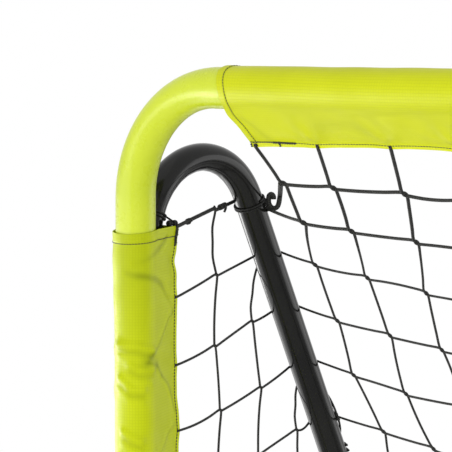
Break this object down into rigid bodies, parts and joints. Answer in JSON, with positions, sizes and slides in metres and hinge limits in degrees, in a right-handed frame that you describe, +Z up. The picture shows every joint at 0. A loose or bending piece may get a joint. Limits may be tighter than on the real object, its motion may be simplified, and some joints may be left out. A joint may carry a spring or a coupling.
{
  "type": "soccer goal",
  "caption": "Free-standing garden soccer goal: lime steel tube front hoop, black steel rear stays and ground bars, fabric sleeves and a square-mesh net, joined by snap-button plug joints.",
  "frame": {"origin": "on the ground, below the middle of the goal's box", "axes": "+X along the crossbar, to the right seen from the field; +Y to the back, where the net is; +Z up"},
  "size_m": [1.8528, 0.7748, 1.2021],
  "materials": {
    "lime_tube": "glossy lime powder coat",
    "black_tube": "glossy black powder coat",
    "moulding": "fine-grained black moulding",
    "plated_steel": "zinc plated",
    "sleeve_fabric": "lime coated woven fabric with a fine grid",
    "net_twine": "black knotted twine"
  },
  "bodies": {
    "goal": {"crossbar": "lime_tube", "crossbar_sleeve": "sleeve_fabric", "left_crossbar_spigot": "plated_steel", "left_crossbar_spring": "plated_steel", "left_foot_spring": "plated_steel", "left_front_foot": "moulding", "left_leg_cap": "moulding", "left_post": "lime_tube", "left_post_sleeve": "sleeve_fabric", "left_rear_corner": "moulding", "left_rear_spring": "plated_steel", "left_rivet_nut_lower": "plated_steel", "left_rivet_nut_upper": "plated_steel", "left_side_bar": "black_tube", "left_side_spring": "plated_steel", "left_sleeve_tie": "net_twine", "left_stay": "black_tube", "left_stay_bolt_lower": "plated_steel", "left_stay_bolt_upper": "plated_steel", "left_stay_saddle": "moulding", "left_stay_spring": "plated_steel", "left_stay_tie": "net_twine", "net_back": "net_twine", "net_left": "net_twine", "net_right": "net_twine", "net_roof": "net_twine", "rear_bar": "black_tube", "right_crossbar_spigot": "plated_steel", "right_crossbar_spring": "plated_steel", "right_foot_spring": "plated_steel", "right_front_foot": "moulding", "right_leg_cap": "moulding", "right_post": "lime_tube", "right_post_sleeve": "sleeve_fabric", "right_rear_corner": "moulding", "right_rear_spring": "plated_steel", "right_rivet_nut_lower": "plated_steel", "right_rivet_nut_upper": "plated_steel", "right_side_bar": "black_tube", "right_side_spring": "plated_steel", "right_sleeve_tie": "net_twine", "right_stay": "black_tube", "right_stay_bolt_lower": "plated_steel", "right_stay_bolt_upper": "plated_steel", "right_stay_saddle": "moulding", "right_stay_spring": "plated_steel", "right_stay_tie": "net_twine"},
    "left_crossbar_button": {"left_crossbar_button": "plated_steel"},
    "left_foot_button": {"left_foot_button": "plated_steel"},
    "left_rear_button": {"left_rear_button": "plated_steel"},
    "left_side_button": {"left_side_button": "plated_steel"},
    "left_stay_button": {"left_stay_button": "plated_steel"},
    "right_crossbar_button": {"right_crossbar_button": "plated_steel"},
    "right_foot_button": {"right_foot_button": "plated_steel"},
    "right_rear_button": {"right_rear_button": "plated_steel"},
    "right_side_button": {"right_side_button": "plated_steel"},
    "right_stay_button": {"right_stay_button": "plated_steel"}
  },
  "joints": [
    {"name": "left_crossbar_press", "type": "hinge", "parent": "goal", "child": "left_crossbar_button", "pos_m": [-0.5655, -0.35171, 1.15669], "axis": [0, -0.8973, -0.4415], "range_deg": [0, 6.24], "stiffness_Nm_per_rad": 1.5, "springref_deg": -6.88},
    {"name": "left_foot_press", "type": "hinge", "parent": "goal", "child": "left_foot_button", "pos_m": [-0.88395, -0.28902, 0.022], "axis": [0, 0, 1], "range_deg": [0, 6.24], "stiffness_Nm_per_rad": 1.5, "springref_deg": -6.88},
    {"name": "left_rear_press", "type": "hinge", "parent": "goal", "child": "left_rear_button", "pos_m": [-0.84499, 0.36352, 0.03454], "axis": [0, 1, 0], "range_deg": [0, 6.24], "stiffness_Nm_per_rad": 1.5, "springref_deg": -6.88},
    {"name": "left_side_press", "type": "hinge", "parent": "goal", "child": "left_side_button", "pos_m": [-0.88395, 0.31202, 0.022], "axis": [0, 0, -1], "range_deg": [0, 6.24], "stiffness_Nm_per_rad": 1.5, "springref_deg": -6.88},
    {"name": "left_stay_press", "type": "hinge", "parent": "goal", "child": "left_stay_button", "pos_m": [-0.88395, 0.34078, 0.06821], "axis": [0, -0.8973, -0.4415], "range_deg": [0, 6.24], "stiffness_Nm_per_rad": 1.5, "springref_deg": -6.88},
    {"name": "right_crossbar_press", "type": "hinge", "parent": "goal", "child": "right_crossbar_button", "pos_m": [0.5655, -0.35171, 1.15669], "axis": [0, 0.8973, 0.4415], "range_deg": [0, 6.24], "stiffness_Nm_per_rad": 1.5, "springref_deg": -6.88},
    {"name": "right_foot_press", "type": "hinge", "parent": "goal", "child": "right_foot_button", "pos_m": [0.88395, -0.28902, 0.022], "axis": [0, 0, -1], "range_deg": [0, 6.24], "stiffness_Nm_per_rad": 1.5, "springref_deg": -6.88},
    {"name": "right_rear_press", "type": "hinge", "parent": "goal", "child": "right_rear_button", "pos_m": [0.84499, 0.36352, 0.03454], "axis": [0, -1, 0], "range_deg": [0, 6.24], "stiffness_Nm_per_rad": 1.5, "springref_deg": -6.88},
    {"name": "right_side_press", "type": "hinge", "parent": "goal", "child": "right_side_button", "pos_m": [0.88395, 0.31202, 0.022], "axis": [0, 0, 1], "range_deg": [0, 6.24], "stiffness_Nm_per_rad": 1.5, "springref_deg": -6.88},
    {"name": "right_stay_press", "type": "hinge", "parent": "goal", "child": "right_stay_button", "pos_m": [0.88395, 0.34078, 0.06821], "axis": [0, 0.8973, 0.4415], "range_deg": [0, 6.24], "stiffness_Nm_per_rad": 1.5, "springref_deg": -6.88}
  ]
}
